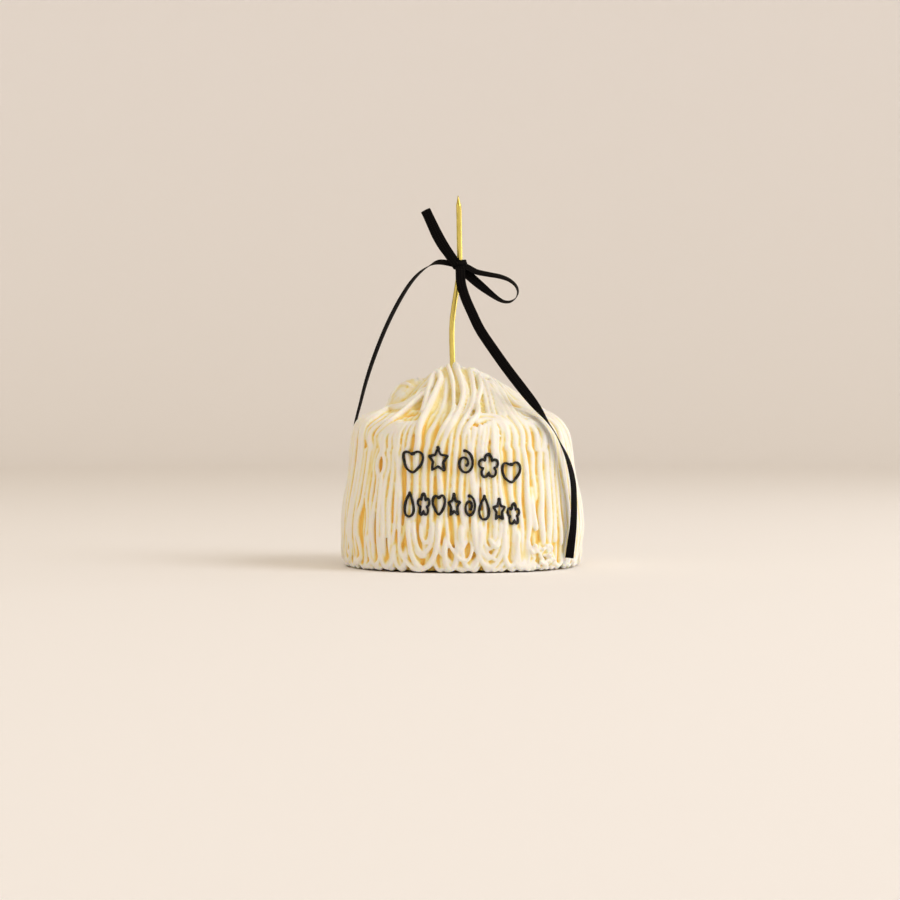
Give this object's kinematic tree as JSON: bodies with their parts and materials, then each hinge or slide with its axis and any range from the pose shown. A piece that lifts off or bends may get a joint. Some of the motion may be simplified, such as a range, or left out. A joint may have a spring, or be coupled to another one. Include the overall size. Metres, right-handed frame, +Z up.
{
  "type": "birthday cake",
  "caption": "Small round celebration cake dressed in piped buttercream strands, with a thin bent metallic candle tied with a satin ribbon bow and piped motifs on its front.",
  "frame": {"origin": "centre of the cake's flat base, on the surface it stands on", "axes": "+Z up, +Y to the back, so the decorated front faces -Y; +X to the right seen from the front"},
  "size_m": [0.146, 0.1466, 0.2218],
  "materials": {
    "buttercream": "soft ivory buttercream in piped strands, warm yellow and amber in the grooves between them",
    "metallic_gold": "polished pale gold coating on wax",
    "black_satin": "black satin ribbon with a soft grey sheen",
    "black_icing": "glossy black piped icing, hand drawn and uneven"
  },
  "bodies": {
    "root": {"cake": "buttercream", "candle": "metallic_gold", "ribbon_knot": "black_satin", "ribbon_loop_upper": "black_satin", "ribbon_loop_right": "black_satin", "ribbon_tail_left": "black_satin", "ribbon_tail_right": "black_satin", "motif_01_heart": "black_icing", "motif_02_star": "black_icing", "motif_03_swirl": "black_icing", "motif_04_flower": "black_icing", "motif_05_heart": "black_icing", "motif_06_drop": "black_icing", "motif_07_flower": "black_icing", "motif_08_heart": "black_icing", "motif_09_star": "black_icing", "motif_10_swirl": "black_icing", "motif_11_drop": "black_icing", "motif_12_star": "black_icing", "motif_13_flower": "black_icing"}
  },
  "joints": []
}
